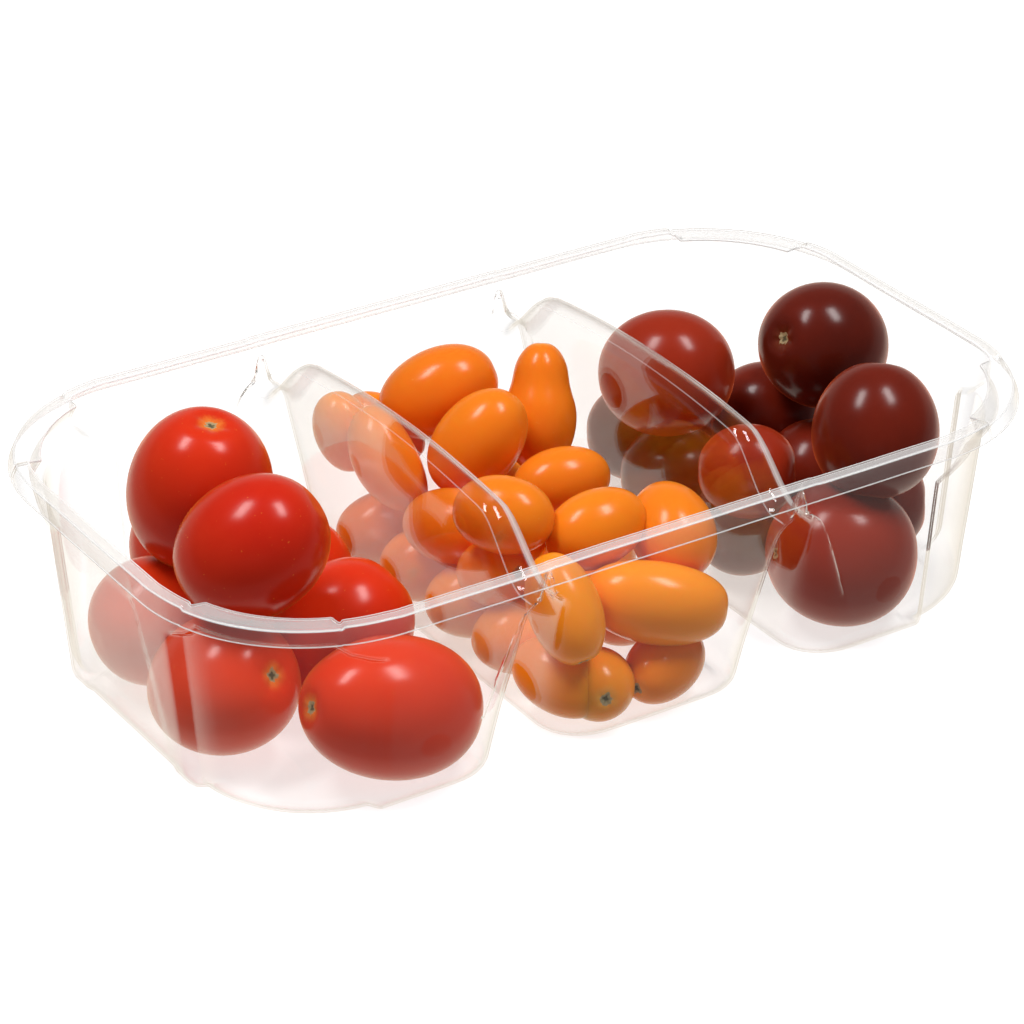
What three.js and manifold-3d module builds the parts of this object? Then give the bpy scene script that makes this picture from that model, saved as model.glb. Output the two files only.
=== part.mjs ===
// Punnet of cherry tomatoes: a clear thermoformed tray with three cups, and a heap of tomatoes in
// each cup. Millimetres, +Z up, X along the tray. The origin is on the surface that the tray stands
// on, under the middle of the tray.
import * as THREE from 'three';
import { mergeVertices } from 'three/addons/utils/BufferGeometryUtils.js';
import Module from 'manifold-3d';

const wasm = await Module();
wasm.setup();

// ---- driving dimensions ----
const LENGTH = 190; // over the outer edge of the flat rim band
const WIDTH = 112;
const HEIGHT = 46; // rim top above the surface it stands on
const CORNER_RADIUS = 34; // plan radius of the rim's outer edge
const FILM = 0.6; // wall of the tray

const BAND_WIDTH = 2.7; // flat band on top of the rim
const SKIRT_DROP = 3.4; // outer skirt below the band
const SKIRT_FLARE = 1.2;
const WALL_DRAFT = 0.09; // the wall leans in this much for each millimetre of depth
const FLOOR_FILLET = 4; // outer radius between wall and floor

const BEAD_REACH = 2.7; // snap bead in each corner, just below the rim
const BEAD_HOLLOW = 0.6; // share of the film's wall by which its outer face reaches further
const BEAD_DEPTH = 0.9;
const BEAD_ROOT_DEPTH = 4.4;
const BEAD_START = 20; // degrees into the corner
const BEAD_END = 70;
const SHOULDER_STEP = 2.3; // stacking shoulder in each corner
const SHOULDER_DEPTH = 5.4;
const SHOULDER_FALL = 1.4;
const SHOULDER_END_FALL = 5; // its upper line is this much lower at both ends
const SHOULDER_SIDE = 5; // degrees from the corner's end to its full step
const SHOULDER_LEVEL = 22; // and to where its upper line is level

const DIVIDER_X = 28.5; // the two hollow dividers, left and right of the middle
const DIVIDER_HALF_WIDTH = 3.0; // at rim level, growing with depth
const DIVIDER_DRAFT = 0.065;
const DIVIDER_FOOT_RADIUS = 2;
const CREST_RISE = 5; // the crest's middle stands above the rim
const CREST_SAG = 2; // it is this much lower at CREST_SAG_AT from the middle
const CREST_SAG_AT = 32;
const CREST_FALL_START = 33; // from here it drops to its low ends
const CREST_FALL_END = 48.5;
const CREST_END_DEPTH = 8.1; // its ends are this far below the rim
const MOUTH_RADIUS = 0.4; // turn from a divider into the long wall, at the crest's end
const MOUTH_DRAFT = 0.32; // the divider's mouth opens this much for each millimetre of depth

const TUNNEL_OVERRUN = 4; // the hollows under the dividers are cut this far past the rim

const CLEARANCE = 0.35; // between a heap and the tray

// ---- tomatoes: [x, y, z, length, width, yaw, pitch], centre in millimetres, axis in degrees ----
// The last red one and the last two brown ones lie hidden under the others.
const RED_TOMATOES = [
  [-64, 14, 40, 32, 28, 90, 82],
  [-68, -13, 41, 30, 26, -27, 35],
  [-74, 15, 14, 26, 25, 0, 0],
  [-75, -13, 14, 30, 27, -63, 24],
  [-53, -37, 14.5, 36, 27, 0, -15],
  [-48, -10, 15, 31, 26, 4, 34],
  [-45, 15, 14, 27, 25, 20, 10],
  [-53, 38, 14, 27, 26, 60, 0],
];
const ORANGE_TOMATOES = [
  [0, 31, 36, 25, 18, -24, 26],
  [16, 18, 34, 26, 15, 53, 62],
  [-2, 13, 33, 24, 17, -18, 52],
  [8, -2, 28, 20, 14, -38, 10],
  [-16, -18, 35, 20, 15, -54, 0],
  [0, -26, 31, 20, 14, -31, 12],
  [15, -30, 28, 21, 16, 72, 16],
  [-18, 38, 29, 17, 12, -58, -69],
  [-17, 23, 29, 23, 13, -76, -50],
  [-15, 2, 23, 21, 15, -65, 9],
  [-16, -15, 21, 18, 13, -88, 24],
  [-16, -39, 26, 22, 14, -91, -49],
  [4, -40, 22, 28, 16, -28, -11],
  [-7, -41, 8, 18, 14, -80, -35],
  [6, -42, 7.5, 21, 13, 19, 9],
  [-16, -38, 9, 20, 14, -65, -15],
  [-7, 41, 25, 19, 13, -55, -34],
];
const BROWN_TOMATOES = [
  [74, 2, 38, 27, 26, -33, 0],
  [60, -34, 39, 27, 25, 49, 55],
  [46, 15, 35, 28, 26, -53, 11],
  [71, 15, 18, 24, 23, -33, 0],
  [69, -6, 15, 22, 21, -36, 2],
  [44, -15, 26, 20, 19, -36, 2],
  [52, -36, 15, 30, 29, -18, -8],
  [70, -23, 15, 22, 21, -37, 2],
  [46, 13, 12, 22, 21, -37, 2],
  [51, 33, 12, 22, 21, -30, 0],
  [47, -11, 11.5, 22, 21, 20, 0],
  [69, 34, 12, 22, 21, 70, 0],
];

// The orange heap's hidden lowest layer: pairs of tomatoes side by side.
const LAYER_ROWS = [-22, -5, 12, 29];
const LAYER_X = 12;
const LAYER_Z = 9.5;
const LAYER_LENGTH = 24;
const LAYER_WIDTH = 16;
const LAYER_TURN = 14; // every other pair is turned this way, the others the other way

// The packed middle of each heap: [x, length, width, height], on the floor of its cup.
const RED_CORE = [-60, 22, 56, 24];
const ORANGE_CORE = [0, 24, 66, 26];
const BROWN_CORE = [58, 22, 48, 24];

// ---- solids from rings of points ----

// Triangles that fill a ring whose second half mirrors its first, as rungs between the two halves.
function rungs(count) {
  const triangles = [];
  for (let i = 0; i + 1 < count - 1 - i; i += 1) {
    const across = count - 1 - i;
    triangles.push([i, i + 1, across]);
    if (i + 1 < across - 1) {
      triangles.push([i + 1, across - 1, across]);
    }
  }
  return triangles;
}

// A closed solid through rings of equal point counts, both ends capped. Seen from the last ring's
// side, the rings run anticlockwise.
function loft(rings) {
  const count = rings[0].length;
  const last = (rings.length - 1) * count;
  const triangles = rungs(count).flatMap(([a, b, c]) => [[a, c, b], [a + last, b + last, c + last]]);
  for (let start = 0; start < last; start += count) {
    for (let i = 0; i < count; i += 1) {
      const a = start + i;
      const b = start + ((i + 1) % count);
      triangles.push([a, b, b + count], [a, b + count, a + count]);
    }
  }
  const geometry = new THREE.BufferGeometry();
  const positions = rings.flat().flatMap((p) => p.toArray());
  geometry.setAttribute('position', new THREE.Float32BufferAttribute(positions, 3));
  geometry.setIndex(triangles.flat());
  return solidOf(geometry);
}

function solidOf(geometry) {
  const bare = geometry.clone();
  bare.deleteAttribute('normal');
  bare.deleteAttribute('uv');
  const merged = mergeVertices(bare, 1e-4);
  const mesh = new wasm.Mesh({
    numProp: 3,
    vertProperties: new Float32Array(merged.attributes.position.array),
    triVerts: new Uint32Array(merged.index.array),
  });
  return new wasm.Manifold(mesh);
}

function geometryOf(solid) {
  const mesh = solid.getMesh();
  const geometry = new THREE.BufferGeometry();
  geometry.setAttribute('position', new THREE.BufferAttribute(mesh.vertProperties, 3));
  geometry.setIndex(new THREE.BufferAttribute(mesh.triVerts, 1));
  return geometry;
}

// ---- the tray's wall: how far its inner face is inside the rim's outer edge ----

// A fillet of this radius, tangent to the wall at `top` above its lowest point.
function filletInset(radius, top, z) {
  const below = THREE.MathUtils.clamp(top - z, 0, radius);
  return radius - Math.sqrt(radius * radius - below * below);
}

// `skin` is 0 on the inner face and FILM on the outer one.
function wallInset(z, skin) {
  const depth = HEIGHT - Math.max(z, FLOOR_FILLET);
  const fillet = filletInset(FLOOR_FILLET - FILM + skin, FLOOR_FILLET, z);
  return BAND_WIDTH + WALL_DRAFT * depth - skin + fillet;
}

// ---- tray shell: one loft from the foot, up the outside, over the rim and down the inside ----

const CORNER_ANGLES = [0, 5, 14, 22, 34, 45, 56, 68, 76, 85, 90];
const FILLET_ANGLES = [0, 30, 60, 90];

// Seen from above, anticlockwise: a point on the rim's outer edge, its outward normal, and how
// far into the corner it is.
function rimOutline() {
  const outline = [];
  const cx = LENGTH / 2 - CORNER_RADIUS;
  const cy = WIDTH / 2 - CORNER_RADIUS;
  for (const [sx, sy, reversed] of [[1, 1, false], [-1, 1, true], [-1, -1, false], [1, -1, true]]) {
    const angles = reversed ? [...CORNER_ANGLES].reverse() : CORNER_ANGLES;
    for (const angle of angles) {
      const a = THREE.MathUtils.degToRad(angle);
      const normal = new THREE.Vector2(sx * Math.cos(a), sy * Math.sin(a));
      const foot = new THREE.Vector2(sx * cx, sy * cy).addScaledVector(normal, CORNER_RADIUS);
      outline.push({ foot, normal, angle });
    }
  }
  return outline;
}

const ramp = (value, from, to) => THREE.MathUtils.clamp((value - from) / (to - from), 0, 1);

// 1 along a corner's bead, 0 elsewhere.
const beadAt = (angle) => (angle > BEAD_START && angle < BEAD_END ? 1 : 0);
// 1 along a corner's shoulder, 0 at both ends of the corner.
const shoulderAt = (angle) => Math.min(ramp(angle, 0, SHOULDER_SIDE), ramp(90 - angle, 0, SHOULDER_SIDE));
// The shoulder's upper line falls away towards both ends.
function shoulderDepth(angle) {
  const fromEnd = Math.min(angle, 90 - angle);
  const level = ramp(fromEnd, SHOULDER_SIDE, SHOULDER_LEVEL);
  return SHOULDER_DEPTH + SHOULDER_END_FALL * (1 - level);
}

// One ring of the shell. `stage` gives the inset and the height at an angle round the corner.
function shellRing(stage) {
  return rimOutline().map(({ foot, normal, angle }) => {
    const [inset, z] = stage(angle);
    return new THREE.Vector3(foot.x - normal.x * inset, foot.y - normal.y * inset, z);
  });
}

// The wall's rings from the bead down to the floor fillet, for one face of the film.
function wallStages(skin) {
  const bead = (angle) => {
    const lip = wallInset(HEIGHT - BEAD_DEPTH, skin);
    return [lip + beadAt(angle) * (BEAD_REACH - BEAD_HOLLOW * skin), HEIGHT - BEAD_DEPTH - skin];
  };
  const beadRoot = () => [wallInset(HEIGHT - BEAD_ROOT_DEPTH, skin), HEIGHT - BEAD_ROOT_DEPTH];
  const shoulderTop = (angle) => {
    const z = HEIGHT - shoulderDepth(angle);
    return [wallInset(z, skin), z];
  };
  const stepped = (z) => (angle) => [wallInset(z, skin) + SHOULDER_STEP * shoulderAt(angle), z];
  const shoulderFoot = (angle) => stepped(HEIGHT - shoulderDepth(angle) - SHOULDER_FALL)(angle);
  const filletRadius = FLOOR_FILLET - FILM + skin;
  const filletStages = FILLET_ANGLES.map((degrees) => {
    const z = FLOOR_FILLET - filletRadius * Math.sin(THREE.MathUtils.degToRad(degrees));
    return stepped(z);
  });
  return [bead, beadRoot, shoulderTop, shoulderFoot, ...filletStages];
}

function trayShell() {
  const top = () => [0, HEIGHT];
  const skirtFoot = () => [-SKIRT_FLARE, HEIGHT - SKIRT_DROP];
  const skirtFootInside = () => [FILM - SKIRT_FLARE, HEIGHT - SKIRT_DROP];
  const skirtRoof = () => [FILM, HEIGHT - FILM];
  const wallRoof = () => [wallInset(HEIGHT - FILM, FILM), HEIGHT - FILM];
  const bandEdge = () => [BAND_WIDTH, HEIGHT];
  const outside = wallStages(FILM).reverse();
  const rim = [wallRoof, skirtRoof, skirtFootInside, skirtFoot, top, bandEdge];
  return loft([...outside, ...rim, ...wallStages(0)].map(shellRing));
}

// ---- dividers: a hollow fold of film across the tray, open below ----

// Height of a divider's crest (its upper face) at this distance from the tray's middle line.
function crestHeight(y) {
  const across = Math.abs(y);
  const hump = CREST_RISE - CREST_SAG * (across / CREST_SAG_AT) ** 2;
  const fall = THREE.MathUtils.smoothstep(across, CREST_FALL_START, CREST_FALL_END);
  return HEIGHT + THREE.MathUtils.lerp(hump, -CREST_END_DEPTH, fall);
}

// Radius where a divider's side turns into the long wall.
const mouthRadius = (z) => MOUTH_RADIUS + MOUTH_DRAFT * Math.max(HEIGHT - CREST_END_DEPTH - z, 0);

// Stations across the tray: a share of the straight run, then the turn into the wall in degrees.
const DIVIDER_STATIONS = [
  ...[0, 0.26, 0.46, 0.62, 0.74, 0.82, 0.9].map((share) => ({ share, turn: 0 })),
  ...[0, 25, 50, 75, 90].map((turn) => ({ share: 1, turn })),
  { share: 1, turn: 90, end: true },
];
const SIDE_SHARES = [0, 0.03, 0.07, 0.35, 0.7, 1];
const ARCH_ANGLES = [45, 90, 135];

// The fold's outline at one station. `grow` moves the surface from the cup's side of the film
// (0) to the tunnel's side (negative) or clear of it (positive).
function dividerSection(side, station, grow, bottom, reach) {
  const surface = (z) => {
    const radius = mouthRadius(z);
    const turn = THREE.MathUtils.degToRad(station.turn);
    const arcCentreX = DIVIDER_HALF_WIDTH + DIVIDER_DRAFT * (HEIGHT - z) + FILM + radius;
    const arcCentreY = WIDTH / 2 - wallInset(z, 0) - radius;
    const foot = filletInset(DIVIDER_FOOT_RADIUS - grow, DIVIDER_FOOT_RADIUS + FILM, z);
    return {
      x: arcCentreX - (radius - grow) * Math.cos(turn) + foot,
      y: arcCentreY * station.share + (radius - grow) * Math.sin(turn),
    };
  };
  const crestY = surface(HEIGHT - CREST_END_DEPTH).y;
  const crest = crestHeight(crestY) + grow;
  const archRadius = surface(crest).x;
  const spring = crest - archRadius;
  const ending = (y) => reach ?? y + FILM / 2;
  const point = (x, y, z) => new THREE.Vector3(x, side * (station.end ? ending(y) : y), z);
  const flank = SIDE_SHARES.map((share) => {
    const z = THREE.MathUtils.lerp(bottom, spring, share);
    return { ...surface(z), z };
  });
  const arch = ARCH_ANGLES.map((degrees) => {
    const a = THREE.MathUtils.degToRad(degrees);
    return point(-archRadius * Math.cos(a), crestY, spring + archRadius * Math.sin(a));
  });
  const left = flank.map(({ x, y, z }) => point(-x, y, z));
  const right = flank.map(({ x, y, z }) => point(x, y, z)).reverse();
  return [...left, ...arch, ...right];
}

// A divider's solid from one long wall to the other, ending `reach` from the middle line, or just
// inside the wall's film where no reach is given.
function dividerSolid(grow, bottom, reach) {
  const section = (side) => (station) => dividerSection(side, station, grow, bottom, reach);
  const near = DIVIDER_STATIONS.slice(1).reverse().map(section(-1));
  const far = DIVIDER_STATIONS.map(section(1));
  return loft([...near, ...far]);
}

const bothDividers = (solid) => solid.translate([-DIVIDER_X, 0, 0]).add(solid.translate([DIVIDER_X, 0, 0]));

function traySolid() {
  const folds = bothDividers(dividerSolid(0, FILM / 2, undefined));
  const tunnels = bothDividers(dividerSolid(-FILM, -FILM, WIDTH / 2 + TUNNEL_OVERRUN));
  return trayShell().add(folds).subtract(tunnels);
}

// ---- heaps: tomatoes packed together, clear of the tray ----

const LENGTH_SEGMENTS = 5;
const FACET_SWELL = 1.06; // flat facets cut inside a round surface, so each solid is this much larger
const SMALL_WIDTH = 19; // slimmer tomatoes have fewer sides
const SMALL_SIDES = 6;
const LARGE_SIDES = 9;
const HEAP_CEILING = 80; // above every tomato

// All the room above the film of the cups.
function cupRoom() {
  const lid = (angle) => [wallStages(-CLEARANCE)[0](angle)[0], HEAP_CEILING];
  const room = loft([...wallStages(-CLEARANCE).reverse(), lid].map(shellRing));
  return room.subtract(bothDividers(dividerSolid(CLEARANCE, -CLEARANCE, WIDTH / 2)));
}

function tomatoSolid([x, y, z, length, width, yaw, pitch]) {
  const sides = width < SMALL_WIDTH ? SMALL_SIDES : LARGE_SIDES;
  const geometry = new THREE.SphereGeometry(0.5, sides, LENGTH_SEGMENTS);
  geometry.rotateZ(-Math.PI / 2);
  geometry.scale(length * FACET_SWELL, width * FACET_SWELL, width * FACET_SWELL);
  geometry.rotateY(-THREE.MathUtils.degToRad(pitch));
  geometry.rotateZ(THREE.MathUtils.degToRad(yaw));
  geometry.translate(x, y, z);
  return solidOf(geometry);
}

function coreSolid([x, length, width, height]) {
  const geometry = new THREE.BoxGeometry(length, width, height);
  geometry.translate(x, 0, height / 2);
  return solidOf(geometry);
}

function heapSolid(tomatoes, core, room) {
  const loose = tomatoes.map(tomatoSolid);
  return loose.reduce((heap, tomato) => heap.add(tomato), coreSolid(core)).intersect(room);
}

const lowestLayer = LAYER_ROWS.flatMap((y, row) => [-1, 1].map((side) => {
  const turn = row % 2 === 0 ? LAYER_TURN : -LAYER_TURN;
  return [side * LAYER_X, y, LAYER_Z, LAYER_LENGTH, LAYER_WIDTH, turn, 0];
}));

// ---- the punnet ----

const trayMaterial = new THREE.MeshStandardMaterial({
  color: 0xeef0f0,
  roughness: 0.08,
  metalness: 0,
  transparent: true,
  opacity: 0.35,
});
const redMaterial = new THREE.MeshStandardMaterial({ color: 0xbe1e14, roughness: 0.25, metalness: 0 });
const orangeMaterial = new THREE.MeshStandardMaterial({ color: 0xf07a0c, roughness: 0.25, metalness: 0 });
const brownMaterial = new THREE.MeshStandardMaterial({ color: 0x52120a, roughness: 0.25, metalness: 0 });

function meshOf(name, solid, material) {
  const mesh = new THREE.Mesh(geometryOf(solid), material);
  mesh.name = name;
  return mesh;
}

const room = cupRoom();
const orangeTomatoes = [...ORANGE_TOMATOES, ...lowestLayer];
const punnet = new THREE.Group();
punnet.add(
  meshOf('tray', traySolid(), trayMaterial),
  meshOf('red_tomatoes', heapSolid(RED_TOMATOES, RED_CORE, room), redMaterial),
  meshOf('orange_tomatoes', heapSolid(orangeTomatoes, ORANGE_CORE, room), orangeMaterial),
  meshOf('brown_tomatoes', heapSolid(BROWN_TOMATOES, BROWN_CORE, room), brownMaterial),
);

export default punnet;
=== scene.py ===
import math
import random

import bmesh
import bpy
from mathutils import Matrix, Vector, noise


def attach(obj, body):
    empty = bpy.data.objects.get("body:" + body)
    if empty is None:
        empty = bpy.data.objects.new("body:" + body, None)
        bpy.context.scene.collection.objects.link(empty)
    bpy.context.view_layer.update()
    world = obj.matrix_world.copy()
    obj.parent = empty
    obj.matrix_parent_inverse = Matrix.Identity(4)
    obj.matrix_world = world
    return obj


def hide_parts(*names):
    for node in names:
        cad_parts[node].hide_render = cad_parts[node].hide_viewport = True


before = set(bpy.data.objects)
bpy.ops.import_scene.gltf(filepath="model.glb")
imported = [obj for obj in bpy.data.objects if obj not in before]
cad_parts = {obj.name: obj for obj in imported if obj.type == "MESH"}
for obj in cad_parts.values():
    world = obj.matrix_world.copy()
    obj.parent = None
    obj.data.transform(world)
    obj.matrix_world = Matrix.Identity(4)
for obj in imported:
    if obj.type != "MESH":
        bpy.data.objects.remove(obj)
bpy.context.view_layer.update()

# ---------------------------------------------------------------------------------------------
# The tray. One sheet of clear film, heated and drawn into a mould with three cups. The two
# dividers are folds of the same sheet, hollow and open below, and they end in the long walls.
# The edge of the sheet is a flat rim with a short skirt. A quarter is shaped, then mirrored.
# ---------------------------------------------------------------------------------------------
mm = 0.001
half_length = 95.0 * mm
half_width = 56.0 * mm
rim_height = 46.0 * mm
corner_radius = 34.0 * mm
corner_x = half_length - corner_radius
corner_y = half_width - corner_radius
film_thickness = 0.4 * mm
floor_top = film_thickness + 0.05 * mm

rim_width = 2.7 * mm
skirt_drop = 3.4 * mm
skirt_flare = 1.2 * mm
edge_rounding = 0.55 * mm
rounding_steps = 3
cut_edge = 0.35 * mm
wall_draft = 0.09
wall_foot_radius = 4.0 * mm

bead_reach = 2.7 * mm
bead_sink = 0.45 * mm
bead_root_depth = 4.4 * mm
bead_start = 21.5
bead_end = 70.5
bead_fade = 0.9
corner_sink = 0.45 * mm
corner_dents = (20.0, 72.0)
dent_depth = 0.4 * mm
dent_reach = 0.4
rim_fold_x = 30.05 * mm
rim_fold_depth = 0.22 * mm
rim_fold_reach = 0.3 * mm
rim_step_x = (30.0 * mm, 30.7 * mm)
rim_step = 0.16 * mm

shoulder_step = 2.3 * mm
shoulder_depth = 5.4 * mm
shoulder_fall = 1.4 * mm
shoulder_middle_depth = 8.0 * mm
shoulder_end_depth = 10.4 * mm
shoulder_margin = 1.3 * mm

divider_x = 28.5 * mm
divider_half_width = 3.6 * mm
divider_draft = 0.065
divider_foot_radius = 2.0 * mm
crest_rise = 5.0 * mm
crest_sag = 2.0 * mm
crest_sag_at = 32.0 * mm
crest_turn = 33.0 * mm
crest_low = 48.5 * mm
mouth_depth = 8.1 * mm
mouth_radius = 0.4 * mm
mouth_draft = 0.32
hook_height = 5.0 * mm
hook_start = 49.6 * mm
hook_end = 52.2 * mm
hook_inner = 0.6 * mm
hook_outer = 1.75 * mm
hook_crease = 0.22 * mm
hook_crease_reach = 0.5 * mm

panel_rise = 0.5 * mm
panel_half_width = (9.0 * mm, 16.5 * mm)
panel_edge = 1.2 * mm
panel_widens = (10.0 * mm, 40.0 * mm)
panel_top = (7.0 * mm, 12.0 * mm)
panel_x = (80.0 * mm, 84.0 * mm)


def ramp(value, low, high):
    """A smooth rise from 0 at low to 1 at high."""
    t = min(max((value - low) / (high - low), 0.0), 1.0)
    return t * t * (3.0 - 2.0 * t)


def mix(a, b, t):
    return a + (b - a) * t


def straight(value, low, high):
    """A straight rise from 0 at low to 1 at high, which may be the smaller of the two."""
    return min(max((value - low) / (high - low), 0.0), 1.0)


def wall_inset(depth):
    """How far in from the rim's edge the walls lie at a depth below the rim."""
    return rim_width + wall_draft * depth


def wall_y(depth):
    return half_width - wall_inset(depth)


def shoulder_top(turn):
    """Depth of the stacking shoulder, which falls away towards both ends of the corner."""
    away = min(turn, 90.0 - turn + 4.0)
    near = straight(away, 22.0, 16.0)
    far = straight(away, 16.0, 6.0)
    upper = mix(shoulder_depth, shoulder_middle_depth, near)
    return upper + (shoulder_end_depth - shoulder_middle_depth) * far


def shoulder_share(turn):
    """How far the shoulder stands in from the wall, as a share of its full step."""
    return ramp(turn, 1.5, 5.5) * ramp(90.0 - turn, 1.0, 4.5)


def station(kind, value):
    """A column round the rim: its point on the outer edge, its direction and its profile."""
    if kind == "back":
        away = straight(value, divider_x, corner_x)
        top = mix(shoulder_depth, shoulder_end_depth, away)
        return Vector((value, half_width)), Vector((0.0, 1.0)), 0.0, top
    if kind == "side":
        return Vector((half_length, value)), Vector((1.0, 0.0)), 90.0, shoulder_end_depth
    turn = math.radians(value)
    out = Vector((math.sin(turn), math.cos(turn)))
    centre = Vector((corner_x, corner_y))
    return centre + out * corner_radius, out, value, shoulder_top(value)


def rounded(points, radius, steps):
    """The polyline through the points, with every inner corner turned by a short curve."""
    line = [points[0]]
    for before, corner, after in zip(points, points[1:], points[2:]):
        back = before - corner
        ahead = after - corner
        start = corner + back * min(0.45, radius / max(back.length, 1e-9))
        end = corner + ahead * min(0.45, radius / max(ahead.length, 1e-9))
        for step in range(steps + 1):
            t = step / steps
            line.append(start * (1 - t) ** 2 + corner * 2 * t * (1 - t) + end * t * t)
    line.append(points[-1])
    return line


def notch(value, centre, reach):
    """A smooth dent of depth 1 at the centre."""
    return math.exp(-(((value - centre) / reach) ** 2))


def rim_profile(turn, top, groove):
    """Inset and depth from the skirt's edge, over the rim, down to just below the shoulder."""
    first, last = corner_dents
    groove += dent_depth * sum(notch(turn, dent, dent_reach) for dent in corner_dents)
    bead = ramp(turn, bead_start - bead_fade, bead_start + bead_fade)
    bead *= ramp(-turn, -bead_end - bead_fade, -bead_end + bead_fade)
    sink = corner_sink * ramp(turn, first - dent_reach, first + dent_reach)
    sink *= ramp(-turn, -last - dent_reach, -last + dent_reach)
    share = shoulder_share(turn)
    edge = rim_width + bead_reach * bead
    edge_depth = sink + bead_sink * bead
    low = top + shoulder_fall
    lowest = max(mouth_depth, low + shoulder_margin)
    return rounded(
        [
            Vector((0.5 * groove - skirt_flare, skirt_drop)),
            Vector((0.5 * groove - 0.96 * skirt_flare, skirt_drop - cut_edge)),
            Vector((groove - 0.62 * skirt_flare, 0.5 * skirt_drop + sink)),
            Vector((groove, sink + groove)),
            Vector((0.5 * rim_width, sink + groove + 0.06 * mm)),
            Vector((edge, edge_depth + 0.5 * groove)),
            Vector((wall_inset(bead_root_depth), bead_root_depth)),
            Vector((wall_inset(top), top)),
            Vector((wall_inset(low) + shoulder_step * share, low)),
            Vector((wall_inset(lowest) + shoulder_step * share, lowest)),
        ],
        edge_rounding,
        rounding_steps,
    )


def hook(point):
    """Each divider's crest turns up into a narrow rib where it meets the long wall."""
    depth = rim_height - point.z
    across = abs(point.x - divider_x)
    share = 1.0 - ramp(across, hook_inner, hook_outer)
    rise = hook_height * share * ramp(point.y, hook_start, hook_end)
    rise *= straight(depth, 0.0, mouth_depth) ** 1.5
    if point.y > half_width - 0.95 * rim_width:
        return point
    crease = hook_crease * notch(across, 0.0, hook_crease_reach)
    crease *= ramp(point.y, hook_start, hook_end) * ramp(depth, 0.3 * mm, 1.2 * mm)
    return Vector((point.x, point.y - crease, point.z + rise))


def grid(bm, columns, rows, place, painted_highlight_at):
    """A flat grid whose every corner is set on the sheet by place, and given its share of painted
    highlight.
    """
    painted_highlight = bm.verts.layers.float["painted_highlight"]
    made = bmesh.ops.create_grid(bm, x_segments=columns, y_segments=rows, size=0.5)["verts"]
    for vert in made:
        column = round((vert.co.x + 0.5) * columns)
        row = round((0.5 - vert.co.y) * rows)
        vert.co = hook(place(row, column))
        vert[painted_highlight] = painted_highlight_at(row, column)


near_mouth = [0.0, 0.45, 0.9, 1.3, 1.8, 2.8, 4.5, 7.0, 10.5]
middle_steps = [d * mm / divider_x for d in near_mouth + [14.5, 19.0, 24.0, 28.5]]
outer_reach = corner_x - divider_x
outer_steps = [d * mm / outer_reach for d in near_mouth + [15.0, 20.0, 25.0, 29.5, 32.5]]
corner_turns = [0, 1.5, 3, 4.5, 6, 9, 12, 14, 16, 18, 19.6, 20, 20.4, 21, 21.5, 22, 22.6, 24]
corner_turns += list(range(27, 67, 3))
corner_turns += [68, 69.4, 70, 70.5, 71, 71.6, 72, 72.4, 74, 76, 78, 80, 82, 84, 85.5, 87, 88.5, 90]
side_steps = [0.0, 0.08, 0.16, 0.24, 0.32, 0.39, 0.436, 0.4545, 0.473, 0.5, 0.527, 0.5455, 0.564]
side_steps += [0.62, 0.7, 0.8, 0.9, 1.0]

ring = [station("back", divider_x * (1.0 - t)) for t in reversed(middle_steps)]
ring += [station("back", divider_x + outer_reach * t) for t in outer_steps[1:]]
ring += [station("corner", turn) for turn in corner_turns[1:]]
ring += [station("side", corner_y * (1.0 - t)) for t in side_steps[1:]]


def groove_at(spot):
    """The fold across the rim beside each divider."""
    return rim_fold_depth * notch(spot.x, rim_fold_x, rim_fold_reach)


profiles = [rim_profile(turn, top, groove_at(spot)) for spot, _, turn, top in ring]


def panel_offset(x, y, depth):
    """The shallow raised panel in the middle of each short wall. It widens downwards."""
    edge = mix(*panel_half_width, straight(depth, *panel_widens))
    inside = 1.0 - ramp(abs(y), edge, edge + panel_edge)
    return panel_rise * inside * ramp(depth, *panel_top) * ramp(x, *panel_x)


def on_ring(row, column):
    """The rim and the top of the walls. Beyond each fold the rim's band lies a step lower."""
    at, out, turn, _ = ring[column]
    inset, depth = profiles[column][row]
    spot = at - out * inset
    step = rim_step * ramp(abs(spot.x), *rim_step_x) * ramp(-depth, -1.0 * mm, -0.5 * mm)
    step *= 1.0 - ramp(turn, 0.0, 6.0) * ramp(90.0 - turn, 0.0, 6.0)
    x = spot.x - panel_offset(spot.x, spot.y, depth)
    return Vector((x, spot.y, rim_height - depth - step))


cap_rows = [0.0, 0.12, 0.24, 0.36, 0.48, 0.58, 0.64, 0.68, 0.72, 0.82, 0.92, 1.0]
side_rows = 12
foot_rows = 6
floor_rows = [(1.2 * mm, 0.0), (1.7 * mm, 0.25 * mm), (2.3 * mm, 0.45 * mm)]
side_first = len(cap_rows) - 1
foot_first = side_first + side_rows
floor_first = foot_first + foot_rows
sheet_rows = floor_first + len(floor_rows)
wall_foot_depth = rim_height - floor_top - wall_foot_radius
turn_steps = 9
ridge_y = [0.0, 0.02, 0.04, 0.06, 0.08, 0.1, 0.125, 0.15, 0.18, 0.21, 0.24, 0.27, 0.3, 0.335, 0.37]
ridge_y += [0.41, 0.45, 0.5, 0.55, 0.61, 0.67, 0.74, 0.81, 0.88, 0.94, 1.0]


def crest_height(y):
    """The crest's height over the table: a low arch that drops to the mouth at the long wall."""
    hump = crest_rise - crest_sag * (y / crest_sag_at) ** 2
    return rim_height + mix(hump, -mouth_depth - mouth_radius, ramp(y, crest_turn, crest_low))


def cap_radius(crest):
    """The radius of the round top of a divider whose crest is at this height."""
    return (divider_half_width + divider_draft * (rim_height - crest)) / (1.0 - divider_draft)


mouth_cap = cap_radius(rim_height - mouth_depth - mouth_radius)


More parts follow.
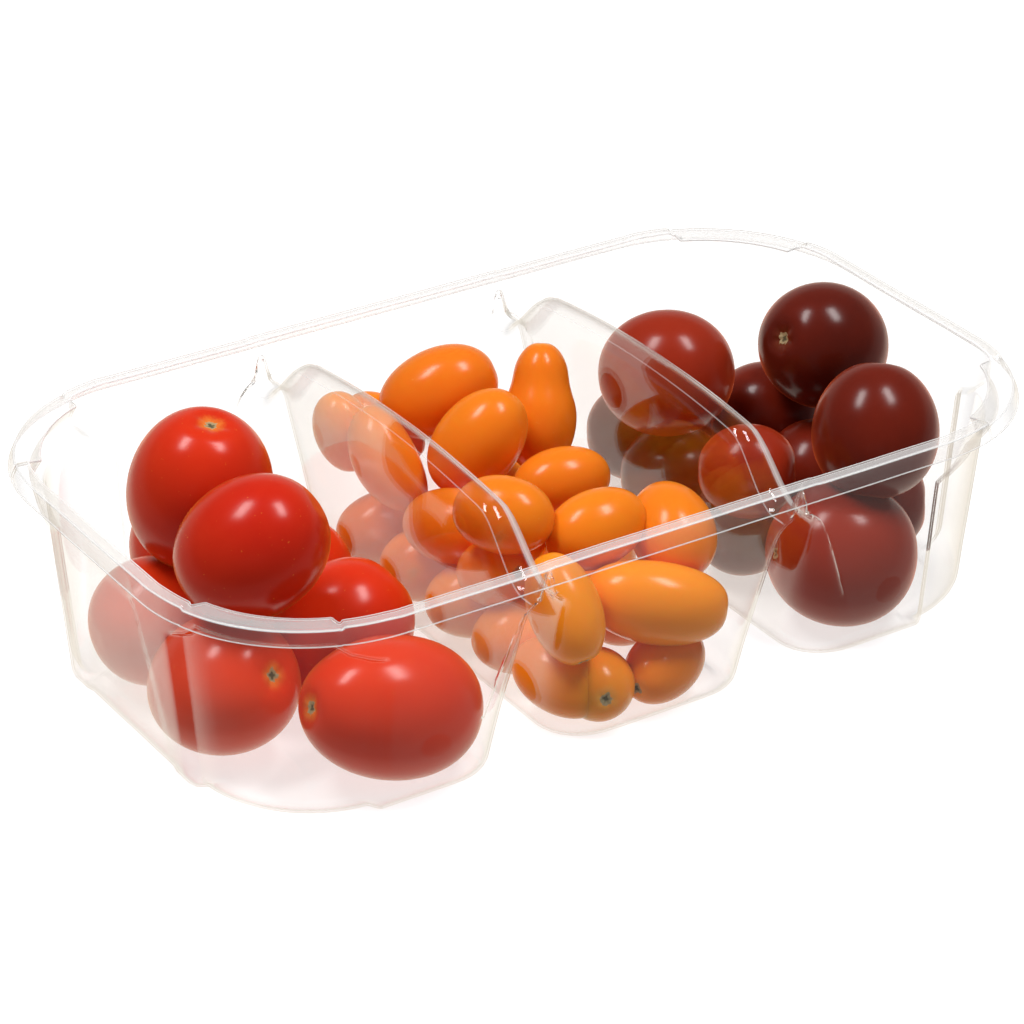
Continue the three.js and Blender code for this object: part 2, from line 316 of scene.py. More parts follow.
def fold_point(row, y):
    """Half-width and height of a divider's cup side, for a row that is above its foot."""
    crest = crest_height(y)
    cap = cap_radius(crest)
    if row <= side_first:
        across = cap_rows[row]
        return cap * across, crest - cap * (1.0 - math.sqrt(1.0 - across * across))
    share = min(row - side_first, side_rows) / side_rows
    height = mix(crest - cap, floor_top + divider_foot_radius, share)
    return divider_half_width + divider_draft * (rim_height - height), height


def wall_row(row):
    """Depth of a row on the long wall, and how far its mouth outline lies from the fold."""
    if row <= side_first:
        across = cap_rows[row]
        full = mouth_cap + mouth_radius
        depth = mouth_depth + full * (1.0 - math.sqrt(1.0 - across * across))
    else:
        share = min(row - side_first, side_rows) / side_rows
        depth = mix(mouth_depth + mouth_cap + mouth_radius, wall_foot_depth, share)
    return depth, mouth_radius + mouth_draft * (depth - mouth_depth)


def foot(row, radius):
    """Inset and height above the cup's floor for the rows that turn from wall to floor."""
    if row <= foot_first:
        return 0.0, None
    if row <= floor_first:
        angle = math.radians(90.0) * (row - foot_first) / foot_rows
        return radius * (1.0 - math.cos(angle)), radius * (1.0 - math.sin(angle))
    inset, rise = floor_rows[row - floor_first - 1]
    return radius + inset, rise


def on_fold(row, share, outward):
    """The divider's side: share 0 is at the mouth's turn, 1 at the middle of the tray."""
    depth, radius = wall_row(row)
    y = (wall_y(depth) - radius) * (1.0 - share)
    half, height = fold_point(row, y)
    inset, rise = foot(row, divider_foot_radius)
    if rise is not None:
        height = floor_top + rise
    return Vector((divider_x + outward * (half + inset), y, height))


def on_turn(row, step, outward):
    """The rounded corner between a divider and the long wall; it widens towards the foot."""
    depth, radius = wall_row(row)
    angle = math.radians(90.0) * step / turn_steps
    full_y = wall_y(depth)
    half, height = fold_point(row, full_y - radius)
    grown = 1.0 - math.cos(angle)
    across = cap_rows[row] if row <= side_first else 1.0
    foot_radius = mix(divider_foot_radius, wall_foot_radius, math.sin(angle) ** 2)
    inset, rise = foot(row, foot_radius)
    x = half + radius * across * grown + inset * math.cos(angle)
    y = full_y - radius + radius * math.sin(angle) - inset * math.sin(angle)
    height = mix(height, rim_height - depth, grown)
    if rise is not None:
        height = floor_top + rise
    return Vector((divider_x + outward * x, y, height))


def on_wall(row, column, share, outward):
    """The walls. In the corners the rows start below the shoulder instead of at the mouth."""
    depth, radius = wall_row(row)
    inset, rise = foot(row, wall_foot_radius)
    at, out, turn, top = ring[column]
    if out.y == 1.0:
        mouth = on_turn(row, turn_steps, outward).x
        at, out, turn, top = station("back", mix(mouth, 0.0 if outward < 0 else corner_x, share))
    first = max(mouth_depth, top + shoulder_fall + shoulder_margin)
    depth = mix(first, wall_foot_depth, (depth - mouth_depth) / (wall_foot_depth - mouth_depth))
    spot = at - out * (wall_inset(depth) + shoulder_step * shoulder_share(turn) + inset)
    height = rim_height - depth if rise is None else floor_top + rise
    return Vector((spot.x - panel_offset(spot.x, spot.y, rim_height - height), spot.y, height))


middle_columns = len(middle_steps) - 1
fold_columns = len(ridge_y) - 1


def on_middle_cup(row, column):
    """A quarter of the middle cup: half its long wall, the turn, then half its divider."""
    if column <= middle_columns:
        return on_wall(row, column, middle_steps[middle_columns - column], -1)
    column -= middle_columns
    if column <= turn_steps:
        return on_turn(row, turn_steps - column, -1)
    return on_fold(row, ridge_y[column - turn_steps], -1)


def on_outer_cup(row, column):
    """Half of an outer cup: the divider, the turn, the long wall, the corner and the end."""
    if column <= fold_columns:
        return on_fold(row, ridge_y[fold_columns - column], 1)
    column -= fold_columns
    if column <= turn_steps:
        return on_turn(row, column, 1)
    column -= turn_steps
    share = outer_steps[min(column, len(outer_steps) - 1)]
    return on_wall(row, middle_columns + column, share, 1)


# The film is painted white where it bends, as painted highlights for the bright lines its bends
# catch, and the number is the share of white on it.
rounding_rows = rounding_steps + 1
foot_bend = range(1, 1 + rounding_rows)
skirt_bend = range(foot_bend.stop, foot_bend.stop + rounding_rows)
outer_bend = range(skirt_bend.stop, skirt_bend.stop + rounding_rows)
band_bend = range(outer_bend.stop, outer_bend.stop + rounding_rows)
inner_bend = range(band_bend.stop, band_bend.stop + rounding_rows)
band_painted_highlight = 0.22
bend_painted_highlight = 0.85
skirt_painted_highlight = 0.035
edge_painted_highlight = 0.6
crest_painted_highlight = 0.25
crest_fade = 0.5
crest_line_row = 7
wall_painted_highlight = 0.0


def rim_painted_highlight(row, column):
    """The rim's painted highlight is whitest along its two bends and its cut edge, less so in
    between.
    """
    if row == 0:
        return edge_painted_highlight
    if row == outer_bend.start + 1 or row in inner_bend[1:3]:
        return bend_painted_highlight
    if outer_bend.start < row <= inner_bend.start:
        return band_painted_highlight
    return skirt_painted_highlight if row <= outer_bend.start else wall_painted_highlight


def crest_painted_line(row, share):
    """Each side of a divider's crest carries one fine painted highlight line, strongest near the
    mouths.
    """
    return crest_painted_highlight * (1.0 - crest_fade * share) if row == crest_line_row else wall_painted_highlight


def middle_cup_painted_highlight(row, column):
    column -= middle_columns + turn_steps
    return crest_painted_line(row, ridge_y[column]) if column > 0 else wall_painted_highlight


def outer_cup_painted_highlight(row, column):
    if column < fold_columns:
        return crest_painted_line(row, ridge_y[fold_columns - column])
    return wall_painted_highlight


bm = bmesh.new()
# The film carries a painted highlight: a share of white where its bends and crests shine.
bm.verts.layers.float.new("painted_highlight")
grid(bm, len(ring) - 1, len(profiles[0]) - 1, on_ring, rim_painted_highlight)
grid(bm, middle_columns + turn_steps + fold_columns, sheet_rows, on_middle_cup, middle_cup_painted_highlight)
outer_columns = fold_columns + turn_steps + len(ring) - 1 - middle_columns
grid(bm, outer_columns, sheet_rows, on_outer_cup, outer_cup_painted_highlight)
weld = 0.004 * mm
bmesh.ops.remove_doubles(bm, verts=bm.verts, dist=weld)
for axis in "XY":
    bmesh.ops.mirror(bm, geom=bm.verts[:] + bm.edges[:] + bm.faces[:], axis=axis, merge_dist=weld)
    bmesh.ops.remove_doubles(bm, verts=bm.verts, dist=weld)
open_floor = [e for e in bm.edges if e.is_boundary and max(v.co.z for v in e.verts) < 2 * mm]
bmesh.ops.holes_fill(bm, edges=open_floor, sides=0)
bmesh.ops.recalc_face_normals(bm, faces=bm.faces)
if sum(f.normal.z * f.calc_area() for f in bm.faces) < 0:
    bmesh.ops.reverse_faces(bm, faces=bm.faces)

# The side of each crest that faces the brown end carries a painted highlight all over, white for
# the streak of lamp light along it, strongest towards the front.
flank_painted_highlight = 0.34
flank_least = 0.35
flank_back = 20.0 * mm
flank_front = 25.0 * mm
flank_start = 0.42
flank_end = 0.93
painted_highlight = bm.verts.layers.float["painted_highlight"]
for vert in bm.verts:
    along = abs(vert.co.y)
    if along > crest_low or abs(abs(vert.co.x) - divider_x) > 1.2 * divider_half_width:
        continue
    crest = crest_height(along)
    cap = cap_radius(crest)
    across = (vert.co.x - math.copysign(divider_x, vert.co.x)) / cap
    if flank_start < across < flank_end and vert.co.z > crest - cap:
        vert[painted_highlight] = flank_painted_highlight * mix(flank_least, 1.0, ramp(-vert.co.y, -flank_back, flank_front))

# The drawn film is slightly wavy, except on the flat floors. Without a seed the waves would
# differ from run to run.
ripple = 0.10 * mm
ripple_scale = 1.0 / (14.0 * mm)
ripple_above = 1.5 * mm
ripple_seed = 5
noise.seed_set(ripple_seed)
for vert in bm.verts:
    if vert.co.z > ripple_above:
        push = noise.noise_vector(vert.co * ripple_scale) * ripple
        push.z *= 0.5
        vert.co += push
for face in bm.faces:
    face.smooth = True
tray_mesh = bpy.data.meshes.new("clear_tray")
bm.to_mesh(tray_mesh)
bm.free()
tray = bpy.data.objects.new("clear_tray", tray_mesh)
bpy.context.scene.collection.objects.link(tray)
wall = tray.modifiers.new("film", "SOLIDIFY")
wall.thickness = film_thickness
wall.offset = -1.0
wall.use_even_offset = False
# Film this clear throws next to no shadow, and its image in the fruit's gloss doesn't show.
tray.visible_shadow = False
tray.visible_diffuse = False
tray.visible_glossy = False


def new_material(name):
    """An empty material, with its nodes and links."""
    material = bpy.data.materials.new(name)
    material.use_nodes = True
    material.node_tree.nodes.clear()
    return material, material.node_tree.nodes, material.node_tree.links


def node(nodes, kind, **values):
    """A node with the named inputs or settings given."""
    made = nodes.new(kind)
    for key, value in values.items():
        if key in made.inputs:
            made.inputs[key].default_value = value
        else:
            setattr(made, key, value)
    return made


straight_gloss = 0.02
gloss_power = 4.0
straight_tint = (0.996, 0.991, 0.986, 1.0)
slanting_tint = (0.15, 0.14, 0.13, 1.0)
tint_start = 0.86
# The white of the painted highlights on the film.
painted_highlight_white = (0.95, 0.94, 0.93, 1.0)


def film_material():
    """Clear film: light goes straight through, and it reflects more and more at a slant. The
    painted highlight on the mesh turns it white along its bends and crests."""
    material, nodes, links = new_material("clear_film")
    facing = node(nodes, "ShaderNodeLayerWeight", Blend=0.5)
    power = node(nodes, "ShaderNodeMath", operation="POWER")
    power.inputs[1].default_value = gloss_power
    share = node(nodes, "ShaderNodeMath", operation="MULTIPLY_ADD")
    share.inputs[1].default_value = 1.0 - straight_gloss
    share.inputs[2].default_value = straight_gloss
    tint = node(nodes, "ShaderNodeValToRGB")
    tint.color_ramp.elements[0].color = straight_tint
    tint.color_ramp.elements[1].color = slanting_tint
    tint.color_ramp.elements[0].position = tint_start
    through = node(nodes, "ShaderNodeBsdfTransparent")
    gloss = node(nodes, "ShaderNodeBsdfGlossy", Roughness=0.0)
    both = node(nodes, "ShaderNodeMixShader")
    painted_highlight = node(nodes, "ShaderNodeAttribute", attribute_name="painted_highlight")
    white = node(nodes, "ShaderNodeBsdfDiffuse", Color=painted_highlight_white)
    with_painted_highlight = node(nodes, "ShaderNodeMixShader")
    out = node(nodes, "ShaderNodeOutputMaterial")
    links.new(facing.outputs["Facing"], power.inputs[0])
    links.new(power.outputs[0], share.inputs[0])
    links.new(facing.outputs["Facing"], tint.inputs["Fac"])
    links.new(tint.outputs["Color"], through.inputs["Color"])
    links.new(share.outputs[0], both.inputs["Fac"])
    links.new(through.outputs[0], both.inputs[1])
    links.new(gloss.outputs[0], both.inputs[2])
    links.new(painted_highlight.outputs["Fac"], with_painted_highlight.inputs["Fac"])
    links.new(both.outputs[0], with_painted_highlight.inputs[1])
    links.new(white.outputs[0], with_painted_highlight.inputs[2])
    links.new(with_painted_highlight.outputs[0], out.inputs["Surface"])
    return material


tray_mesh.materials.append(film_material())
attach(tray, "root")
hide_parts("tray")

# ---------------------------------------------------------------------------------------------
# The red tomatoes, in the left cup. Loose large ovals, scarlet, going orange round the dry
# star-shaped scar in the dimple where the stalk came off. They have a smooth waxy skin. They
# were tipped in, and rest on the cup's floor and on each other. One mesh of single fruit.
# ---------------------------------------------------------------------------------------------


def stalk_end(yaw, pitch):
    """The direction of the stalk end from two angles in degrees."""
    yaw = math.radians(yaw)
    pitch = math.radians(pitch)
    flat = math.cos(pitch)
    return Vector((flat * math.cos(yaw), flat * math.sin(yaw), math.sin(pitch)))


usual_blunt = 0.93
usual_dimple = 0.045
dimple_reach = 0.2
tip_reach = 0.12
tip_dimple = 0.25
waist_at = 0.35
waist_reach = 0.3
ball_around = 56
ball_along = 44
bm = bmesh.new()
bmesh.ops.create_uvsphere(bm, u_segments=ball_around, v_segments=ball_along, radius=1.0)
ball = bpy.data.meshes.new("ball")
bm.to_mesh(ball)
bm.free()


def add_tomato(bm, layers, fruit, dice):
    """One fruit: the x, y and z of its middle, its length and width, all in mm, the yaw and
    pitch of its stalk end in degrees, and how its shape and colour differ from the usual."""
    x, y, z, length, width, yaw, pitch = fruit[:7]
    form = fruit[7] if len(fruit) > 7 else {}
    blunt = form.get("blunt", usual_blunt)
    taper = form.get("taper", dice.uniform(-0.03, 0.05))
    waist = form.get("waist", 0.0)
    dimple = form.get("dimple", usual_dimple) * width * mm
    bend = form.get("bend", 0.0)
    lobes = dice.uniform(0.004, 0.012)
    phase = dice.uniform(0.0, 2.0 * math.pi)
    skin, tone_and_light = layers
    # The tone is partly the fruit's own colour and partly painted light, lighter on fruit that lies
    # in more light.
    tint = form.get("tone_and_light", dice.random())
    half_length = 0.5 * length * mm
    half_width = 0.5 * width * mm
    axis = stalk_end(yaw, pitch)
    turn = axis.to_track_quat("Z", "Y").to_matrix()
    first = len(bm.verts)
    bm.from_mesh(ball)
    bm.verts.ensure_lookup_table()
    for vert in bm.verts[first:]:
        along_axis = vert.co.z
        side = math.hypot(vert.co.x, vert.co.y)
        angle = math.atan2(vert.co.y, vert.co.x)
        reach = side ** blunt
        reach *= 1.0 - taper * along_axis - waist * notch(along_axis, waist_at, waist_reach)
        uneven = math.sin(3.0 * angle + phase) + 0.5 * math.sin(2.0 * angle - phase)
        reach *= half_width * (1.0 + lobes * uneven)
        height = along_axis * half_length
        if along_axis > 0.0:
            creases = 1.0 + 0.12 * math.cos(5.0 * angle)
            height -= dimple * notch(side, 0.0, dimple_reach) * creases
        else:
            height += tip_dimple * dimple * notch(side, 0.0, tip_reach)
        spot = Vector((reach * math.cos(angle), reach * math.sin(angle), height))
        spot.x += bend * half_width * (along_axis * along_axis - 0.33)
        vert[skin] = Vector((spot.x, spot.y, half_length - height))
        vert[tone_and_light] = tint
        vert.co = turn @ spot + Vector((x, y, z)) * mm


def heap(name, fruits, seed):
    """All the fruit of one kind as a single smooth mesh."""
    dice = random.Random(seed)
    bm = bmesh.new()
    layers = bm.verts.layers.float_vector.new("skin"), bm.verts.layers.float.new("tone_and_light")
    for fruit in fruits:
        add_tomato(bm, layers, fruit, dice)
    for face in bm.faces:
        face.smooth = True
    mesh = bpy.data.meshes.new(name)
    bm.to_mesh(mesh)
    bm.free()
    piece = bpy.data.objects.new(name, mesh)
    bpy.context.scene.collection.objects.link(piece)
    return piece


skin_roughness = 0.22
bloom_roughness = 0.35
flesh_spread = (1.0, 0.32, 0.14)
patch_scale = 55.0
speckle_scale = 1500.0
speck_limit = 0.735
speck_share = 0.25
stalk_side = 4.0 * mm
star_lobes = 4.0
star_reach = 0.12 * mm
scar_wobble = 1.2 * mm
halo_share = 0.6
scar_tan = (0.42, 0.32, 0.17)
heart_brown = (0.10, 0.085, 0.045)
scar_roughness = 0.45
relief_depth = 0.2 * mm


def skin_material(name, ripe, pale, deep, glow, glow_depth, bloom, bloom_tint):
    """Waxy skin: each fruit's tone and soft patches move its colour between deep and ripe, and it
    is pale in fine specks and round the scar. The tone is partly the fruit's own colour and partly
    painted light."""
    material, nodes, links = new_material(name)
    place = node(nodes, "ShaderNodeTexCoord")
    skin = node(nodes, "ShaderNodeAttribute", attribute_name="skin")
    tone_and_light = node(nodes, "ShaderNodeAttribute", attribute_name="tone_and_light")
    split = node(nodes, "ShaderNodeSeparateXYZ")
    links.new(skin.outputs["Vector"], split.inputs[0])

    def value(operation, *inputs):
        made = node(nodes, "ShaderNodeMath", operation=operation)
        for index, source in enumerate(inputs):
            if isinstance(source, (int, float)):
                made.inputs[index].default_value = source
            else:
                links.new(source, made.inputs[index])
        return made.outputs[0]

    def blend(factor, first, second):
        made = node(nodes, "ShaderNodeMix", data_type="RGBA", blend_type="MIX")
        for index, source in ((0, factor), (6, first), (7, second)):
            if isinstance(source, tuple):
                made.inputs[index].default_value = (*source, 1.0)
            else:
                links.new(source, made.inputs[index])
        return made.outputs[2]

    patches = node(nodes, "ShaderNodeTexNoise", Scale=patch_scale, Detail=3.0, Roughness=0.5)
    links.new(place.outputs["Object"], patches.inputs["Vector"])
    speckle = node(nodes, "ShaderNodeTexNoise", Scale=speckle_scale, Detail=2.0)
    links.new(place.outputs["Object"], speckle.inputs["Vector"])
    uneven = value("MULTIPLY_ADD", patches.outputs["Fac"], 0.5, -0.25)
    colour = blend(value("ADD", uneven, tone_and_light.outputs["Fac"]), deep, ripe)
    across = value("POWER", split.outputs[0], 2.0)
    along = value("POWER", split.outputs[1], 2.0)
    from_axis = value("SQRT", value("ADD", across, along))
    at_stalk = value("LESS_THAN", split.outputs[2], stalk_side)
    angle = value("ARCTAN2", split.outputs[1], split.outputs[0])
    star = value("MULTIPLY", value("SINE", value("MULTIPLY", angle, star_lobes)), star_reach)
    wobble = value("MULTIPLY", value("SUBTRACT", speckle.outputs["Fac"], 0.5), scar_wobble)
    star_radius = value("ADD", value("ADD", from_axis, star), wobble)

    def within(radius, softness):
        made = node(nodes, "ShaderNodeMapRange", interpolation_type="SMOOTHSTEP")
        links.new(star_radius, made.inputs["Value"])
        made.inputs["From Min"].default_value = radius - softness
        made.inputs["From Max"].default_value = radius + softness
        made.inputs["To Min"].default_value = 1.0
        made.inputs["To Max"].default_value = 0.0
        return value("MULTIPLY", made.outputs[0], at_stalk)

    halo = within(2.0 * mm, 1.4 * mm)
    scar = within(1.2 * mm, 0.12 * mm)
    heart = within(0.6 * mm, 0.3 * mm)
    colour = blend(value("MULTIPLY", halo, halo_share), colour, pale)
    specks = value("GREATER_THAN", speckle.outputs["Fac"], speck_limit)
    colour = blend(value("MULTIPLY", specks, speck_share), colour, pale)
    colour = blend(scar, colour, scar_tan)
    colour = blend(heart, colour, heart_brown)
    body = node(nodes, "ShaderNodeBsdfPrincipled", Roughness=skin_roughness, IOR=1.27)
    body.inputs["Specular IOR Level"].default_value = 0.60
    body.inputs["Sheen Weight"].default_value = bloom
    body.inputs["Sheen Roughness"].default_value = bloom_roughness
    body.inputs["Sheen Tint"].default_value = (*bloom_tint, 1.0)
    body.inputs["Subsurface Weight"].default_value = glow
    body.inputs["Subsurface Radius"].default_value = flesh_spread
    body.inputs["Subsurface Scale"].default_value = glow_depth
    links.new(colour, body.inputs["Base Color"])
    rough = value("ADD", value("MULTIPLY", scar, scar_roughness), skin_roughness)
    links.new(rough, body.inputs["Roughness"])
    waves = value("MULTIPLY", patches.outputs["Fac"], 0.8)
    crust = value("MULTIPLY", scar, speckle.outputs["Fac"])
    relief = node(nodes, "ShaderNodeBump", Strength=0.25, Distance=relief_depth)
    links.new(value("ADD", waves, crust), relief.inputs["Height"])
    links.new(relief.outputs["Normal"], body.inputs["Normal"])
    out = node(nodes, "ShaderNodeOutputMaterial")
    links.new(body.outputs[0], out.inputs["Surface"])
    return material


# Each fruit's tone is partly its own colour and partly painted light: the low ones are set lighter
# for the light they catch from the front.
red_fruits = [
    (-64, 14, 40, 32, 28, -60, 78, {"blunt": 0.88, "dimple": 0.05, "tone_and_light": 0.35}),
    (-68, -13, 41, 30, 26, 153, -35, {"blunt": 0.92, "tone_and_light": 0.2}),
    (-74, 15, 14, 26, 25, 0, 0, {"tone_and_light": 0.9}),
    (-75, -13, 14, 30, 27, -70, 28, {"blunt": 0.92, "tone_and_light": 0.9}),
    (-53, -37, 14.2, 36, 27, 176, 16, {"blunt": 0.92, "tone_and_light": 0.65}),
    (-48, -10, 15, 31, 26, 4, 34, {"tone_and_light": 0.45}),
    (-45, 15, 14, 27, 25, 20, 10),
    (-53, 38, 14, 27, 26, 60, 0),
]
red = heap("red_tomato_heap", red_fruits, 11)
red.data.materials.append(
    skin_material(
        "red_skin",
        ripe=(0.86, 0.056, 0.010),
        pale=(0.88, 0.36, 0.05),
        deep=(0.54, 0.012, 0.005),
        glow=0.25,
        glow_depth=0.004,
        bloom=0.4,
        bloom_tint=(1.0, 0.36, 0.05),
    )
)
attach(red, "root")
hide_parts("red_tomatoes")

# ---------------------------------------------------------------------------------------------
# The orange tomatoes, in the middle cup. Small plum shapes and one pear, with the same waxy
# skin, that lie across each other. Under those that show lie two rows of four.
# ---------------------------------------------------------------------------------------------
pear = {"waist": 0.12, "taper": 0.12, "blunt": 0.9, "dimple": 0.02, "tone_and_light": 0.2}
# Each fruit's tone is partly its own colour and partly painted light: the low ones at the front are
# set lighter for the light they catch.
orange_fruits = [
    (0, 31, 36, 25, 18, 160, -20, {"tone_and_light": 0.1}),
    (16, 18, 34, 26, 15, 53, 62, pear),
    (-2, 13, 33, 24, 17, 162, -52, {"tone_and_light": 0.35}),
    (8, -2, 28, 20, 14, 167, -6, {"tone_and_light": 0.3}),
    (-16, -18, 35, 20, 15, 126, 0, {"tone_and_light": 0.35}),
    (0, -26, 31, 21, 15, -3, 11, {"tone_and_light": 0.4}),
    (15, -30, 28, 22, 16.5, 72, 16, {"tone_and_light": 0.4}),
    (-18, 38, 29, 17, 12, -58, -69, {"tone_and_light": 0.9}),
    (-17, 23, 29, 23, 13, -76, -50, {"bend": 0.2, "tone_and_light": 0.6}),
    (-15, 2, 23, 21, 15, 115, -9, {"tone_and_light": 0.35}),
    (-16, -15, 21, 18, 13, -88, 24, {"tone_and_light": 0.6}),
    (-16.5, -40, 25.2, 22, 14, -91, -49, {"tone_and_light": 0.95}),
    (4, -41, 20.8, 28, 16, -28, -11, {"blunt": 0.8, "bend": 0.12, "tone_and_light": 0.9}),
    (-10, -42, 7.6, 16, 14, -113, 9, {"tone_and_light": 0.9}),
    (5, -42.3, 7.3, 20, 13.5, -158, -4, {"tone_and_light": 0.4}),
    (-16, -38, 9, 20, 14, -65, -15, {"tone_and_light": 0.7}),
    (-7, 41, 25, 19, 13, -55, -34),
]
bottom_length = 24
bottom_width = 16
bottom_height = 9.5
for lane, slant in ((-12, -14), (12, 14)):
    for row_y in (-22, -5, 12, 29):
        place = (lane, row_y, bottom_height)
        orange_fruits.append((*place, bottom_length, bottom_width, slant, 0))
orange = heap("orange_tomato_heap", orange_fruits, 23)
orange.data.materials.append(
    skin_material(
        "orange_skin",
        ripe=(0.97, 0.295, 0.014),
        pale=(0.90, 0.45, 0.10),
        deep=(0.84, 0.185, 0.010),
        glow=0.35,
        glow_depth=0.004,
        bloom=0.2,
        bloom_tint=(1.0, 0.55, 0.12),
    )
)
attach(orange, "root")
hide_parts("orange_tomatoes")

# ---------------------------------------------------------------------------------------------
# The brown tomatoes, in the right cup. Round, with the same waxy skin, and so dark a red that
# they look chocolate brown. Large and small ones lie mixed.
# ---------------------------------------------------------------------------------------------
# Each fruit's tone is partly its own colour and partly painted light, lighter on fruit that lies in
# more light.
brown_fruits = [
    (74.6, 1.6, 39, 27, 26, -174, 24, {"dimple": 0.06, "tone_and_light": 0.2}),
    (60.4, -34.3, 39, 27, 25, 49, 55, {"tone_and_light": 0.32}),
    (45.3, 15.5, 34.7, 28, 26, 127, -11, {"tone_and_light": 1.0}),
    (71, 15, 18, 24, 23, 147, 0, {"tone_and_light": 0.5}),
    (69, -6, 15, 22, 21, -36, 2, {"tone_and_light": 0.5}),
    (44, -15, 26, 20, 19, -36, 2, {"tone_and_light": 1.0}),
    (52, -36, 14.7, 30, 29, 162, 8, {"tone_and_light": 0.95}),
    (70, -23, 15, 22, 21, -37, 2),
    (46, 13, 12, 22, 21, -37, 2),
    (51, 33, 12, 22, 21, -30, 0),
    (47, -11, 11.5, 22, 21, 20, 0),
    (69, 34, 12, 22, 21, 70, 0),
]
brown = heap("brown_tomato_heap", brown_fruits, 37)
brown.data.materials.append(
    skin_material(
        "brown_skin",
        ripe=(0.31, 0.024, 0.008),
        pale=(0.16, 0.035, 0.012),
        deep=(0.045, 0.006, 0.004),
        glow=0.12,
        glow_depth=0.003,
        bloom=0.6,
        bloom_tint=(0.9, 0.15, 0.04),
    )
)
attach(brown, "root")
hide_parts("brown_tomatoes")

# ---------------------------------------------------------------------------------------------
# The camera. It stands high off the left end of the near long side, well away and with a
# narrow view, at the photograph's angle.
# ---------------------------------------------------------------------------------------------
view_azimuth = math.radians(-33.086)
view_elevation = math.radians(28.574)
view_roll = math.radians(0.222)
view_target = Vector((-24.988, -34.815, 46.0)) * mm
view_distance = 712.689 * mm
view_lens = 135.587
sensor = 36.0

toward = Vector(
    (
        math.sin(view_azimuth) * math.cos(view_elevation),
        -math.cos(view_azimuth) * math.cos(view_elevation),
        math.sin(view_elevation),
    )
)
level = Vector((math.cos(view_azimuth), math.sin(view_azimuth), 0.0))
upright = toward.cross(level)
right = level * math.cos(view_roll) + upright * math.sin(view_roll)
above = upright * math.cos(view_roll) - level * math.sin(view_roll)
camera_data = bpy.data.cameras.new("camera")
camera_data.lens = view_lens
camera_data.sensor_width = sensor
camera_data.sensor_fit = "HORIZONTAL"
camera_data.clip_start = 0.01
camera = bpy.data.objects.new("camera", camera_data)
turn = Matrix((right, above, toward)).transposed().to_4x4()
camera.matrix_world = Matrix.Translation(view_target + toward * view_distance) @ turn
bpy.context.scene.collection.objects.link(camera)
bpy.context.scene.camera = camera

# ---------------------------------------------------------------------------------------------
# The studio. A glowing white floor, two long soft boxes overhead, and a low lamp in front for
# the light that a real floor throws back. The surround is dark overhead and bright low down at
# the back, because the dividers and the end wall mirror that side, and the front wall doesn't.
# ---------------------------------------------------------------------------------------------
floor_reach = 3.0
floor_gap = 0.05 * mm
floor_grey = (0.36, 0.36, 0.36, 1.0)
floor_glow = 0.82
bm = bmesh.new()
bmesh.ops.create_grid(bm, x_segments=1, y_segments=1, size=floor_reach)
floor_mesh = bpy.data.meshes.new("floor")
bm.to_mesh(floor_mesh)
bm.free()
floor = bpy.data.objects.new("floor", floor_mesh)
floor_mesh.transform(Matrix.Translation((0.0, 0.0, -floor_gap)))
bpy.context.scene.collection.objects.link(floor)
material, nodes, links = new_material("white_floor")
board = node(nodes, "ShaderNodeBsdfPrincipled", Roughness=0.9)
board.inputs["Base Color"].default_value = floor_grey
board.inputs["Specular IOR Level"].default_value = 0.1
board.inputs["Emission Color"].default_value = (1.0, 1.0, 1.0, 1.0)
board.inputs["Emission Strength"].default_value = floor_glow
out = node(nodes, "ShaderNodeOutputMaterial")
links.new(board.outputs[0], out.inputs["Surface"])
material.cycles.emission_sampling = "NONE"
floor_mesh.materials.append(material)
# The surround stands in for the floor in reflections, and the front lamp for its light.
floor.visible_glossy = False
floor.visible_diffuse = False

lamp_distance = 1.1
aim = Vector((0.0, 0.0, 30.0 * mm))


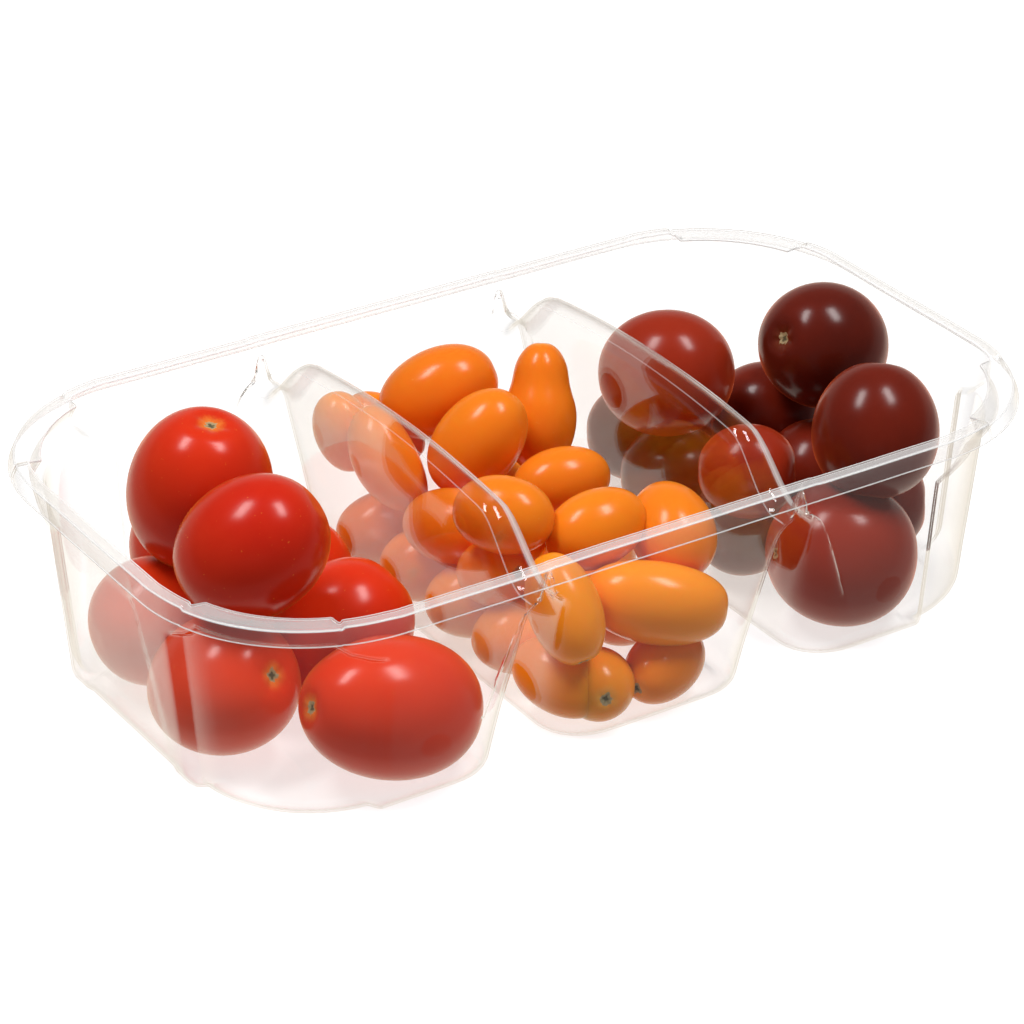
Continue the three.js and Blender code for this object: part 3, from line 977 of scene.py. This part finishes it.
def area_lamp(name, width, length, power, way, across):
    """A lamp that stands off in the direction way and shines back at the tray."""
    lamp_data = bpy.data.lights.new(name, "AREA")
    lamp_data.shape = "RECTANGLE"
    lamp_data.size = width
    lamp_data.size_y = length
    lamp_data.energy = power
    lamp = bpy.data.objects.new(name, lamp_data)
    turn = Matrix((across, way.cross(across), way)).transposed().to_4x4()
    lamp.matrix_world = Matrix.Translation(aim + way * lamp_distance) @ turn
    bpy.context.scene.collection.objects.link(lamp)
    return lamp


box_rise = math.radians(60.0)
box_spread = math.radians(23.0)
box_width = 0.20
box_length = 0.46
box_power = 7.0
centre_line = toward * math.cos(box_rise) + above * math.sin(box_rise)
for side in (-1.0, 1.0):
    way = centre_line * math.cos(box_spread) + right * math.sin(box_spread) * side
    area_lamp("soft_box", box_width, box_length, box_power, way, above.cross(way).normalized())

fill_rise = math.radians(8.0)
fill_width = 0.7
fill_length = 0.3
fill_power = 1.7
flat = Vector((toward.x, toward.y, 0.0)).normalized()
way = flat * math.cos(fill_rise) + Vector((0.0, 0.0, math.sin(fill_rise)))
fill = area_lamp("front_fill", fill_width, fill_length, fill_power, way, level)
fill.visible_glossy = False

overhead_grey = (0.14, 0.14, 0.14, 1.0)
low_glow = (1.1, 1.02, 0.90, 1.0)
glow_at = 0.62
world = bpy.data.worlds.new("studio")
world.use_nodes = True
nodes = world.node_tree.nodes
links = world.node_tree.links
place = node(nodes, "ShaderNodeTexCoord")
behind = node(nodes, "ShaderNodeVectorMath", operation="DOT_PRODUCT")
behind.inputs[1].default_value = flat * -0.5 - Vector((0.0, 0.0, 0.866))
shade = node(nodes, "ShaderNodeValToRGB")
shade.color_ramp.interpolation = "LINEAR"
shade.color_ramp.elements[0].position = 0.0
shade.color_ramp.elements[0].color = overhead_grey
shade.color_ramp.elements[1].position = glow_at
shade.color_ramp.elements[1].color = low_glow
for spot, grey in ((0.12, 0.45), (0.50, 0.5)):
    shade.color_ramp.elements.new(spot).color = (grey, 0.95 * grey, 0.9 * grey, 1.0)
links.new(place.outputs["Generated"], behind.inputs[0])
links.new(behind.outputs["Value"], shade.inputs["Fac"])
links.new(shade.outputs["Color"], nodes["Background"].inputs["Color"])
scene = bpy.context.scene
scene.world = world
scene.view_settings.view_transform = "Standard"
# Many walls of film lie one behind another.
scene.cycles.transparent_max_bounces = 32
scene.cycles.max_bounces = 8
